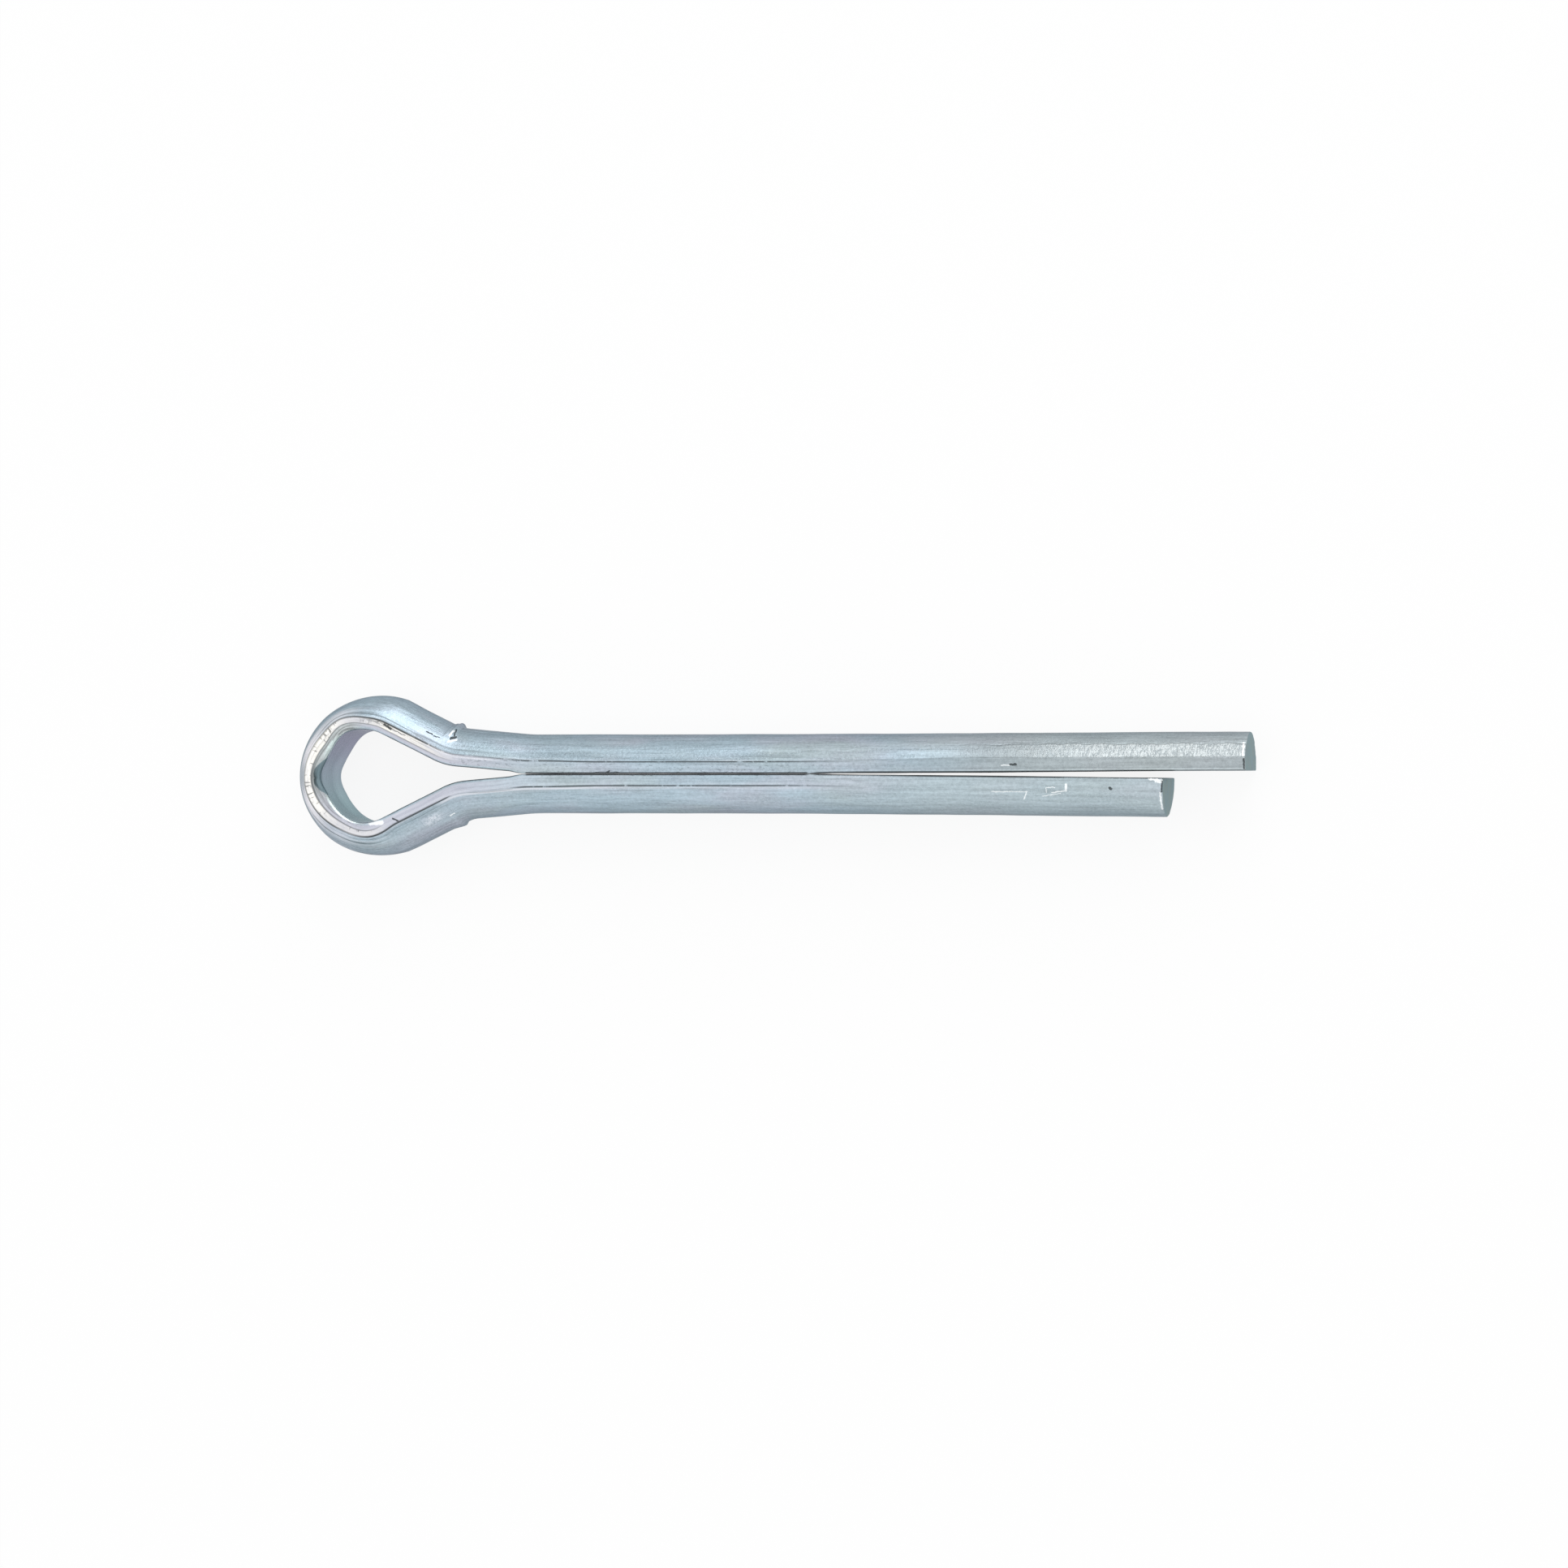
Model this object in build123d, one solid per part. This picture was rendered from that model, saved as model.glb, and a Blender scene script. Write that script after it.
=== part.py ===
# Split pin of the metric size 4 x 32: one length of half-round steel wire, bent round into an eye,
# with its two legs folded flat to flat so that together they make a round shank.
#
# The origin is on the shank's axis, where the legs close behind the eye. +X runs along the shank
# to the leg ends, +Y is towards the longer leg, and Z is across the wire. Sizes are in millimetres.

import math
import os

from build123d import *

# Shank: the two closed legs make a round bar with a flat down each side
SHANK_DIAMETER = 3.6
WIRE_WIDTH = 3.4
LEG_GAP = 0.10
EDGE_ROUND = 0.08

# Legs, from the origin: closed at first, then each sprung outward by an angle, up to its end
CLOSED_LENGTH = 11.3
LONG_LEG = 32.6
SHORT_LEG = 28.8
LONG_LEG_SPRING = 0.33
SHORT_LEG_SPRING = 0.55
SPRING_RADIUS = 200.0
SHORT_END_SLANT = 4.0
SHORT_END_SPARE = 0.5

# Eye: its inner circle hangs a little to the short leg's side, and the wire is thinnest at the crown
EYE_DISTANCE = 8.2
EYE_DROP = 0.09
EYE_INNER_RADIUS = 2.12
CROWN_THICKNESS = 1.28

# Neck: each arm runs in from the eye, bends to a gentle lead and then closes on the other leg
ARM_ANGLE = 26.0
NECK_RADIUS = 3.2
LEAD_ANGLE = 5.0
CLOSING_RADIUS = 12.0

# Ridge round each arm, where the forming tool gripped the wire
RIDGE_LENGTH = 0.9
RIDGE_HEIGHT = 0.12

# Worked out from the sizes above
SHANK_RADIUS = SHANK_DIAMETER / 2
HALF_WIDTH = WIRE_WIDTH / 2
LEG_THICKNESS = SHANK_RADIUS - LEG_GAP / 2
SIDE_BAND = math.sqrt(SHANK_RADIUS**2 - HALF_WIDTH**2) - LEG_GAP / 2
EYE_CENTRE = Vector(-EYE_DISTANCE, -EYE_DROP)
ARM_START = 90 - ARM_ANGLE
EYE_SECTIONS = 9


def direction(degrees):
    """Unit vector in the eye's plane, turned from +X towards +Y."""
    angle = math.radians(degrees)
    return Vector(math.cos(angle), math.sin(angle))


def wire_section(plane, thickness):
    """The half-round profile: a flat, two short upright sides and an arc that joins them."""
    base = Polyline(
        (-HALF_WIDTH, SIDE_BAND), (-HALF_WIDTH, 0), (HALF_WIDTH, 0), (HALF_WIDTH, SIDE_BAND)
    )
    round_back = ThreePointArc((HALF_WIDTH, SIDE_BAND), (0, thickness), (-HALF_WIDTH, SIDE_BAND))
    profile = make_face(base.edges() + round_back.edges())
    flat_corners = profile.vertices().group_by(Axis.Y)[0]
    return plane * fillet(flat_corners, EDGE_ROUND)


class Wire:
    """Follows the flat of one leg, and collects a solid for each run and bend that it makes.

    side is 1 for the leg towards +Y and -1 for the other. The wire's round back faces that way.
    """

    def __init__(self, start, heading, side):
        self.point = start
        self.heading = heading
        self.side = side
        self.solids = []

    def outward(self):
        return direction(self.heading + 90 * self.side)

    def plane(self):
        return Plane(self.point, x_dir=(0, 0, -self.side), z_dir=direction(self.heading))

    def run(self, length):
        self.solids.append(extrude(wire_section(self.plane(), LEG_THICKNESS), length))
        self.point += direction(self.heading) * length

    def swell(self, length, height):
        """A straight stretch whose round back rises evenly to a step."""
        low = wire_section(self.plane(), LEG_THICKNESS)
        self.point += direction(self.heading) * length
        high = wire_section(self.plane(), LEG_THICKNESS + height)
        self.solids.append(loft([low, high], ruled=True))

    def bend(self, radius, angle):
        """A bend away from the other leg, with its radius measured to the flat."""
        centre = self.point + self.outward() * radius
        axis = Axis(centre, (0, 0, self.side))
        self.solids.append(revolve(wire_section(self.plane(), LEG_THICKNESS), axis, angle))
        self.heading += angle * self.side
        self.point = centre - self.outward() * radius

    def slant_end(self, spare, angle):
        """Take the spare length off the end on a slant, so that the flat reaches past the back."""
        size = 4 * LEG_THICKNESS
        beyond = Box(size, size, size, align=(Align.CENTER, Align.CENTER, Align.MIN))
        self.solids[-1] -= self.plane().offset(-spare) * Rot(X=-angle) * beyond


def eye_thickness(turn_from_crown):
    """The wire is stretched thin at the crown, and thickens with the square of the turn."""
    share = turn_from_crown / (180 - ARM_START)
    return CROWN_THICKNESS + (LEG_THICKNESS - CROWN_THICKNESS) * share**2


def eye_bend():
    """The bow of the eye, from one arm round the crown to the other."""
    sections = []
    step = 2 * (180 - ARM_START) / (EYE_SECTIONS - 1)
    for i in range(EYE_SECTIONS):
        angle = ARM_START + i * step
        outward = direction(angle)
        plane = Plane(
            EYE_CENTRE + outward * EYE_INNER_RADIUS, x_dir=(0, 0, 1), z_dir=direction(angle + 90)
        )
        sections.append(wire_section(plane, eye_thickness(abs(180 - angle))))
    return loft(sections)


def neck_runs(start, side):
    """Lengths of the arm and of the lead that bring the flat from the eye to the closed shank."""
    across = direction(90 - ARM_ANGLE)
    neck = NECK_RADIUS * (direction(LEAD_ANGLE - 90) - direction(ARM_ANGLE - 90))
    closing = CLOSING_RADIUS * (direction(-90) - direction(LEAD_ANGLE - 90))
    bends = Vector(-neck.X - closing.X, neck.Y + closing.Y)
    way = Vector(0, LEG_GAP / 2) - Vector(start.X, start.Y * side) - bends
    lead = way.dot(across) / math.sin(math.radians(ARM_ANGLE - LEAD_ANGLE))
    arm = (way - direction(-LEAD_ANGLE) * lead).dot(direction(-ARM_ANGLE))
    return arm, lead


def leg(side, length, spring):
    """One arm of the eye and the leg that it runs into."""
    start = EYE_CENTRE + direction(ARM_START * side) * EYE_INNER_RADIUS
    arm, lead = neck_runs(start, side)
    wire = Wire(start, -ARM_ANGLE * side, side)
    wire.run(arm - RIDGE_LENGTH)
    wire.swell(RIDGE_LENGTH, RIDGE_HEIGHT)
    wire.bend(NECK_RADIUS, ARM_ANGLE - LEAD_ANGLE)
    wire.run(lead)
    wire.bend(CLOSING_RADIUS, LEAD_ANGLE)
    wire.run(CLOSED_LENGTH)
    wire.bend(SPRING_RADIUS, spring)
    wire.run((length - wire.point.X) / math.cos(math.radians(spring)))
    return wire


def cotter_pin():
    """The whole wire as one solid."""
    long_leg = leg(1, LONG_LEG, LONG_LEG_SPRING)
    short_leg = leg(-1, SHORT_LEG + SHORT_END_SPARE, SHORT_LEG_SPRING)
    short_leg.slant_end(SHORT_END_SPARE, SHORT_END_SLANT)
    pin = eye_bend()
    for stretch in long_leg.solids + short_leg.solids:
        pin += stretch
    return pin


os.makedirs("parts", exist_ok=True)
export_step(cotter_pin(), "parts/cotter_pin.step")
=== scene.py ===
# %% [markdown]
# # A split pin of half-round wire
# The object is one length of half-round steel wire, bent round into an eye and folded flat to
# flat. It is zinc plated, which gives it a pale blue-grey shine with fine lines along the wire.
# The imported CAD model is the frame. This script puts a finer wire in its place, with the marks
# that drawing, bending and shearing leave, and then lights and photographs it.

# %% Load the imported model
import math

import bmesh
import bpy
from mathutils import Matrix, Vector


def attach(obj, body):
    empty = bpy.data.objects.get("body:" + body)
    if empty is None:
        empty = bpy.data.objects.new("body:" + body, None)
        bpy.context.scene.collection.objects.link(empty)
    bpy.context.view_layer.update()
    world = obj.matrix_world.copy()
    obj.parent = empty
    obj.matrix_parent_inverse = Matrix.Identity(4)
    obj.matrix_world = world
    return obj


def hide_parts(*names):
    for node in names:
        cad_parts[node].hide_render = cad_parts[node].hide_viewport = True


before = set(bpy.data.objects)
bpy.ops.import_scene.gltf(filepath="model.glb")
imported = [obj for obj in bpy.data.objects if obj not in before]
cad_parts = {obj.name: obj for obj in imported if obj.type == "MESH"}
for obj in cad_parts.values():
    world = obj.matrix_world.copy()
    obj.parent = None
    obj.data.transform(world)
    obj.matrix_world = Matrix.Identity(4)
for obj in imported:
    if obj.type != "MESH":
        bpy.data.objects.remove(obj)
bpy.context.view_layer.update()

print("CAD node:", sorted(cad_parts))

# %% [markdown]
# ## The wire's line
# The real pin starts as straight wire. A machine folds it round a peg, which makes the eye, and
# squeezes the two arms together, which makes the neck and the closed shank. So the shape is a
# section that follows a line. The line is walked here as a maker would describe it: run so far,
# bend by so much. It follows the flat of the wire, in millimetres, with the solid's own sizes.
# Only the two springs, the angles by which the legs part, are smaller than the solid's 0.33 and
# 0.55 degrees, because the photograph shows a narrower gap.

# %% Sizes of the wire and of its bends, in millimetres and degrees
SHANK_DIAMETER = 3.6
WIRE_WIDTH = 3.4
LEG_GAP = 0.10
CLOSED_LENGTH = 11.3
LONG_LEG = 32.6
SHORT_LEG = 28.8
LONG_LEG_SPRING = 0.21
SHORT_LEG_SPRING = 0.46
SPRING_RADIUS = 200.0
EYE_DISTANCE = 8.2
EYE_DROP = 0.09
EYE_INNER_RADIUS = 2.12
ARM_ANGLE = 26.0
NECK_RADIUS = 3.2
LEAD_ANGLE = 5.0
CLOSING_RADIUS = 12.0

SHANK_RADIUS = SHANK_DIAMETER / 2
HALF_WIDTH = WIRE_WIDTH / 2
LEG_THICKNESS = SHANK_RADIUS - LEG_GAP / 2
SIDE_BAND = math.sqrt(SHANK_RADIUS**2 - HALF_WIDTH**2) - LEG_GAP / 2
EYE_CENTRE = Vector((-EYE_DISTANCE, -EYE_DROP))
ARM_START = 90 - ARM_ANGLE
POINT_SPACING = 0.1


# %% Walk one leg from the eye to its tip
def direction(degrees):
    """Unit vector in the eye's plane, turned from +X towards +Y."""
    angle = math.radians(degrees)
    return Vector((math.cos(angle), math.sin(angle)))


class Walk:
    """Follows the flat of one leg. side is 1 for the longer leg and -1 for the other."""

    def __init__(self, start, heading, side):
        self.points = [start]
        self.heading = heading
        self.side = side
        self.length = 0.0

    def run(self, length):
        start, way = self.points[-1], direction(self.heading)
        steps = math.ceil(length / POINT_SPACING)
        self.points += [start + way * length * (i + 1) / steps for i in range(steps)]
        self.length += length

    def bend(self, radius, angle):
        """A bend away from the other leg."""
        inward = direction(self.heading - 90 * self.side)
        centre = self.points[-1] - inward * radius
        length = radius * math.radians(angle)
        steps = math.ceil(length / POINT_SPACING)
        for i in range(steps):
            turned = self.heading + angle * self.side * (i + 1) / steps
            self.points.append(centre + direction(turned - 90 * self.side) * radius)
        self.heading += angle * self.side
        self.length += length


# %% Work out each arm and lead, and walk both legs
def neck_runs(start, side):
    """Lengths of the arm and of the lead that bring the flat from the eye to the closed shank."""
    across = direction(90 - ARM_ANGLE)
    neck = NECK_RADIUS * (direction(LEAD_ANGLE - 90) - direction(ARM_ANGLE - 90))
    closing = CLOSING_RADIUS * (direction(-90) - direction(LEAD_ANGLE - 90))
    bends = Vector((-neck.x - closing.x, neck.y + closing.y))
    way = Vector((0, LEG_GAP / 2)) - Vector((start.x, start.y * side)) - bends
    lead = way.dot(across) / math.sin(math.radians(ARM_ANGLE - LEAD_ANGLE))
    arm = (way - direction(-LEAD_ANGLE) * lead).dot(direction(-ARM_ANGLE))
    return arm, lead


def walk_leg(side, length, spring):
    """One leg from the eye to its tip, and the length of its arm."""
    start = EYE_CENTRE + direction(ARM_START * side) * EYE_INNER_RADIUS
    arm, lead = neck_runs(start, side)
    leg = Walk(start, -ARM_ANGLE * side, side)
    leg.run(arm)
    leg.bend(NECK_RADIUS, ARM_ANGLE - LEAD_ANGLE)
    leg.run(lead)
    leg.bend(CLOSING_RADIUS, LEAD_ANGLE)
    leg.run(CLOSED_LENGTH)
    leg.bend(SPRING_RADIUS, spring)
    leg.run((length - leg.points[-1].x) / math.cos(math.radians(spring)))
    return leg, arm


long_leg, long_arm = walk_leg(1, LONG_LEG, LONG_LEG_SPRING)
short_leg, short_arm = walk_leg(-1, SHORT_LEG, SHORT_LEG_SPRING)
print("legs from eye to tip, mm:", round(long_leg.length, 2), round(short_leg.length, 2))

# %% Join the legs round the eye, and note where along the wire each part begins
eye_turn = 360 - 2 * ARM_START
eye_length = EYE_INNER_RADIUS * math.radians(eye_turn)
eye_steps = math.ceil(eye_length / POINT_SPACING)
eye_points = [
    EYE_CENTRE + direction(ARM_START + eye_turn * i / eye_steps) * EYE_INNER_RADIUS
    for i in range(1, eye_steps)
]
line_points = long_leg.points[::-1] + eye_points + short_leg.points

EYE_START = long_leg.length
CROWN = EYE_START + eye_length / 2
EYE_END = EYE_START + eye_length
WIRE_LENGTH = EYE_END + short_leg.length
UPPER_NECK = EYE_START - long_arm
LOWER_NECK = EYE_END + short_arm
LONG_LEG_ORIGIN = LONG_LEG
SHORT_LEG_ORIGIN = WIRE_LENGTH - SHORT_LEG
print("wire length, mm:", round(WIRE_LENGTH, 2), "eye's middle at", round(CROWN, 2))

line = bpy.data.curves.new("wire_line", "CURVE")
line.dimensions = "3D"
spline = line.splines.new("POLY")
spline.points.add(len(line_points) - 1)
for point, spot in zip(spline.points, line_points):
    point.co = (spot.x, spot.y, 0, 1)
wire_line = bpy.data.objects.new("wire_line", line)
bpy.context.scene.collection.objects.link(wire_line)

# %% [markdown]
# ## Writing node trees as sums
# Geometry Nodes and shader nodes share their Math nodes. A tree of fifty of them is slow to read
# when each link is a line of its own. Here a node's output is wrapped so that it can stand in an
# ordinary sum: `width * 2 + gap` adds two Math nodes and links them. The rest are short helpers.
# Three of them say where something is: ramp changes over one stretch, hump is strongest at one
# place, and between holds from one place to another.

# %% Add a node and link it
def feed(slot, value):
    """Link a node's slot to another node's output, or set the slot's own value."""
    if isinstance(value, Wired):
        slot.id_data.links.new(value.socket, slot)
    else:
        slot.default_value = value


def add_node(tree, kind, inputs=(), result=0, **settings):
    """Add a node, set it up, fill its inputs by order or by name, and give one of its outputs."""
    new = tree.nodes.new(kind)
    for name, value in settings.items():
        setattr(new, name, value)
    for key, value in inputs.items() if isinstance(inputs, dict) else enumerate(inputs):
        feed(new.inputs[key], value)
    return Wired(new.outputs[result])


def maths(operation, *values):
    """A Math node in the tree that its values come from."""
    tree = next(v for v in values if isinstance(v, Wired)).socket.id_data
    return add_node(tree, "ShaderNodeMath", values, operation=operation)


def vectors(operation, *values, result=0):
    """A Vector Math node in the tree that its values come from."""
    tree = next(v for v in values if isinstance(v, Wired)).socket.id_data
    return add_node(tree, "ShaderNodeVectorMath", values, result, operation=operation)


# %% Let a node's output stand in a sum
class Wired:
    """A node's output that can stand in a sum."""

    def __init__(self, socket):
        self.socket = socket

    def other(self, name):
        """Another output of the same node."""
        return Wired(self.socket.node.outputs[name])

    def __add__(self, value):
        return maths("ADD", self, value)

    def __sub__(self, value):
        return maths("SUBTRACT", self, value)

    def __rsub__(self, value):
        return maths("SUBTRACT", value, self)

    def __mul__(self, value):
        return maths("MULTIPLY", self, value)

    def __truediv__(self, value):
        return maths("DIVIDE", self, value)

    def __rtruediv__(self, value):
        return maths("DIVIDE", value, self)

    def __abs__(self):
        return maths("ABSOLUTE", self)

    __radd__ = __add__
    __rmul__ = __mul__


# %% Say where something is, and how strong
def ramp(value, low, high, start=0.0, end=1.0, soft=True):
    """start below low, end above high, and a smooth or an even change between them."""
    kind = "SMOOTHSTEP" if soft else "LINEAR"
    inputs = (value, low, high, start, end)
    return add_node(value.socket.id_data, "ShaderNodeMapRange", inputs, interpolation_type=kind)


def hump(value, middle, reach):
    """1 at the middle, falling smoothly to 0 at the reach on either side."""
    return ramp(abs(value - middle), 0.0, reach, 1.0, 0.0)


def between(value, rise, full, still_full, gone):
    """0 below rise, 1 from full to still_full and 0 above gone, with smooth changes."""
    return ramp(value, rise, full) * ramp(value, still_full, gone, 1.0, 0.0)


def strongest(value, *others):
    """The largest of several values."""
    for other in others:
        value = maths("MAXIMUM", value, other)
    return value


# %% Vectors, noise and new node groups
def parts_of(vector):
    """A vector's three parts."""
    split = add_node(vector.socket.id_data, "ShaderNodeSeparateXYZ", (vector,))
    return split, split.other("Y"), split.other("Z")


def vector_of(tree, x, y, z):
    return add_node(tree, "ShaderNodeCombineXYZ", (x, y, z))


def scaled(vector, amount):
    """A vector times one number, or times one number for each direction."""
    if isinstance(amount, tuple):
        return vectors("MULTIPLY", vector, amount)
    inputs = {0: vector, 3: amount}
    return add_node(vector.socket.id_data, "ShaderNodeVectorMath", inputs, operation="SCALE")


def noise(vector, scale=1.0, detail=2.0, roughness=0.5, distortion=0.0):
    inputs = {
        "Vector": vector, "Scale": scale, "Detail": detail, "Roughness": roughness,
        "Distortion": distortion,
    }
    return add_node(vector.socket.id_data, "ShaderNodeTexNoise", inputs, "Fac")


def start_tree(name, kind, inputs, outputs):
    """Begin a node group. inputs maps each name to its default value, and outputs to its type."""
    tree = bpy.data.node_groups.new(name, kind)
    types = {float: "NodeSocketFloat", int: "NodeSocketInt", tuple: "NodeSocketVector"}
    for title, value in inputs.items():
        socket_type = types.get(type(value), value)
        socket = tree.interface.new_socket(title, in_out="INPUT", socket_type=socket_type)
        if socket_type in types.values():
            socket.default_value = value
    for title, socket_type in outputs.items():
        tree.interface.new_socket(title, in_out="OUTPUT", socket_type=socket_type)
    source = tree.nodes.new("NodeGroupInput")
    target = tree.nodes.new("NodeGroupOutput")
    given = {title: Wired(source.outputs[title]) for title in inputs}
    return tree, given, target


# %% [markdown]
# ## The wire's section, swept along its line
# A half-round section has a flat, two short upright sides and a round back. Curve to Mesh could
# sweep one profile, but here the section changes as it goes: it is stretched thin round the crown,
# its inner edges are squeezed up into a rim there, and the forming tool left a lip on each arm. So
# a plain grid is laid out instead, rows along the wire and columns round it, and sums place each
# of its points.

# %% Start the tree, with every size as a named input
wire_sizes = {
    "Rows": 1000,
    "Crowding": 0.5,
    "Flat Columns": 12,
    "Corner Columns": 4,
    "Side Columns": 6,
    "Back Columns": 26,
    "End Rows": 9,
    "Wire Length": WIRE_LENGTH,
    "Half Width": HALF_WIDTH,
    "Leg Thickness": LEG_THICKNESS,
    "Side Band": SIDE_BAND,
    "Flat Corner": 0.08,
    "End Rounding": 0.05,
    "Short End Slant": 2.0,
    "End Skew": 1.8,
    "Eye Middle": CROWN,
    "Half Eye Length": eye_length / 2,
    "Bow Thickness": 1.28,
    "Bow Corner Rounding": 0.06,
    "Upper Flattening": 0.14,
    "Lower Flattening": 0.06,
    "Side Swell": 0.14,
    "Rim Height": 0.25,
    "Rim Dip": 0.5,
    "Shank Narrowing": 0.05,
    "Tip Widening": 0.08,
    "Upper Neck": UPPER_NECK,
    "Lower Neck": LOWER_NECK,
    "Upper Lip Height": 0.17,
    "Lower Lip Height": 0.10,
    "Pressed Depth": 0.03,
    "Closed From": -0.4,
    "Closed To": 13.05,
    "Most Closing": 0.1,
    "Part Closing": 0.038,
    "Facet Width": 0.73,
    "Facet Start": 14.0,
    "Facet Run": 7.0,
    "Ripple Depth": 0.015,
    "Crumple Depth": 0.010,
    "Seed": 7,
}
shape, given, shape_out = start_tree(
    "half_round_wire", "GeometryNodeTree",
    {**wire_sizes, "Wire Line": "NodeSocketObject", "Plating": "NodeSocketMaterial",
     "End Plating": "NodeSocketMaterial"},
    {"Wire": "NodeSocketGeometry"},
)

# %% Lay out the grid, and read from it the row and the column of each point
half_columns = (
    given["Flat Columns"] + given["Corner Columns"] + given["Side Columns"] + given["Back Columns"]
)
grid = add_node(shape, "GeometryNodeMeshGrid", {
    "Size X": 1.0, "Size Y": 1.0,
    "Vertices X": given["Rows"], "Vertices Y": half_columns * 2 + 1,
})
grid_x, grid_y, _ = parts_of(add_node(shape, "GeometryNodeInputPosition"))
row = (grid_x + 0.5) * (given["Rows"] - 1)
column = grid_y * half_columns * -2
near_side = maths("SIGN", column)
steps_out = abs(column)

# %% Where each row is: along the wire, and at both ends in over the end face
ROUNDED_SHARE = 0.34
end_rounding = given["End Rounding"]
end_rows = given["End Rows"]
body_rows = given["Rows"] - 1 - end_rows * 2
row_share = ramp(row, end_rows, end_rows + body_rows, soft=False)
crowding_wave = maths("SINE", row_share * (math.pi * 2)) * given["Crowding"]
crowded = row_share + crowding_wave * (0.5 / math.pi)
along = end_rounding + crowded * (given["Wire Length"] - end_rounding * 2)
rows_past_start = maths("MAXIMUM", end_rows - row, 0.0)
rows_past_end = maths("MAXIMUM", row - end_rows - body_rows, 0.0)
over_end = (rows_past_start + rows_past_end) / end_rows
at_far_end = ramp(row_share, 0.5, 0.51, -1.0, 1.0)
rounding_turn = ramp(over_end, 0.0, ROUNDED_SHARE, 0.0, math.pi / 2, soft=False)
end_shift = maths("SINE", rounding_turn) * end_rounding * at_far_end
end_inset = end_rounding * (1 - maths("COSINE", rounding_turn))
face_share = ramp(over_end, ROUNDED_SHARE, 1.0, soft=False)

# %% Where the line is at each row
line_geometry = add_node(
    shape, "GeometryNodeObjectInfo", {"Object": given["Wire Line"]}, "Geometry"
)
on_line = add_node(
    shape, "GeometryNodeSampleCurve", {"Curves": line_geometry, "Length": along}, "Position",
    mode="LENGTH",
)
way = on_line.other("Tangent")
outward = vectors("CROSS_PRODUCT", way, (0.0, 0.0, 1.0))
line_x, line_y, _ = parts_of(on_line)

# %% How the section changes along the wire
CLOSED_CORNER_LOSS = 0.7
from_crown = along - given["Eye Middle"]
eye_share = maths("MINIMUM", abs(from_crown) / given["Half Eye Length"], 1.0)
bow_thickness = given["Bow Thickness"]
thickness = bow_thickness + (given["Leg Thickness"] - bow_thickness) * eye_share * eye_share
upper_swell = hump(from_crown, -2.5, 1.1)
lower_swell = hump(from_crown, 3.6, 1.2)
middle_swell = hump(from_crown, 0.3, 2.2) * 0.8
swells = upper_swell + lower_swell + middle_swell
near_tip = ramp(along, given["Facet Start"] + 4, given["Facet Start"] - 2)
widening = near_tip * given["Tip Widening"]
narrowing = between(line_x, 0.0, 3.0, 13.0, 17.0) * given["Shank Narrowing"]
side_band = given["Side Band"] + given["Side Swell"] * swells + widening - narrowing
past_neck = ramp(line_x, given["Closed From"] - 0.9, given["Closed From"])
closed = past_neck * ramp(line_x, given["Closed To"] - 0.4, given["Closed To"] + 0.2, 1.0, 0.0)
corner = given["Flat Corner"] * (1 - closed * CLOSED_CORNER_LOSS)
corner = corner + given["Bow Corner Rounding"] * ramp(eye_share, 0.6, 1.0, 1.0, 0.0)

# %% Place each column on the flat, the corner, the side or the round back
flat_turn = ramp(steps_out, 0.0, given["Flat Columns"], 0.0, math.pi / 2, soft=False)
flat_share = maths("SINE", flat_turn)
past_flat = steps_out - given["Flat Columns"]
corner_turn = ramp(past_flat, 0.0, given["Corner Columns"], 0.0, math.pi / 2, soft=False)
past_corner = past_flat - given["Corner Columns"]
side_share = ramp(past_corner, 0.0, given["Side Columns"], soft=False)
past_side = past_corner - given["Side Columns"]
back_share = ramp(past_side, 0.0, given["Back Columns"], soft=False)

half_width = given["Half Width"]
back_rise = thickness - side_band
back_radius = (back_rise * back_rise + half_width * half_width) / (back_rise * 2)
back_start = maths("ARCSINE", (back_radius - back_rise) / back_radius)
back_turn = back_start + back_share * (math.pi / 2 - back_start)
across = (
    (half_width - corner) * flat_share
    + corner * maths("SINE", corner_turn)
    + back_radius * (maths("COSINE", back_turn) - maths("COSINE", back_start))
)
height = (
    corner * (1 - maths("COSINE", corner_turn))
    + (side_band - corner) * side_share
    + back_radius * (maths("SINE", back_turn) - maths("SINE", back_start))
)
from_back_corner = back_radius * (back_turn - back_start) - (side_band - corner) * (
    1 - side_share
) - corner * (1 - maths("SINE", corner_turn))

# %% [markdown]
# ## What forming did to the wire
# The eye isn't a true circle: the peg left its inside flatter on both sides of the crown. There
# the inside of the bend is also squeezed, so its edges swell into a rim. The tool that pinched the
# arms together pressed their backs, stopped at each neck, and pushed up a lip: a collar with a
# clear step on the upper arm, a small tooth on the lower. In the closed stretch the legs almost
# touch, and past it they stay close for a while. Each of these is one more height added to the
# section, over one stretch of the wire.

# %% Flatten the eye beside the crown, and raise the rim along its inner edges
RIM_STRETCH = (0.45, 3.1)
DIP_STRETCH = (0.1, 0.9)
flattening = (
    hump(from_crown, -1.35, 1.3) * given["Upper Flattening"]
    + hump(from_crown, 1.6, 1.4) * given["Lower Flattening"]
)
rim_rise = hump(from_crown, *RIM_STRETCH) - hump(from_crown, *DIP_STRETCH) * given["Rim Dip"]
rim_rise = rim_rise * given["Rim Height"]
down_side = ramp(height, 0.0, side_band * 0.75, 1.0, 0.0, soft=False)
# near_side is 1 or -1: on the far side the rim is 0.6 of its height, and it begins further in
rim_rise = rim_rise * (0.8 + near_side * 0.2)
rim = ramp(across, 0.81 + near_side * 0.31, 1.55) * rim_rise * down_side

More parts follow.
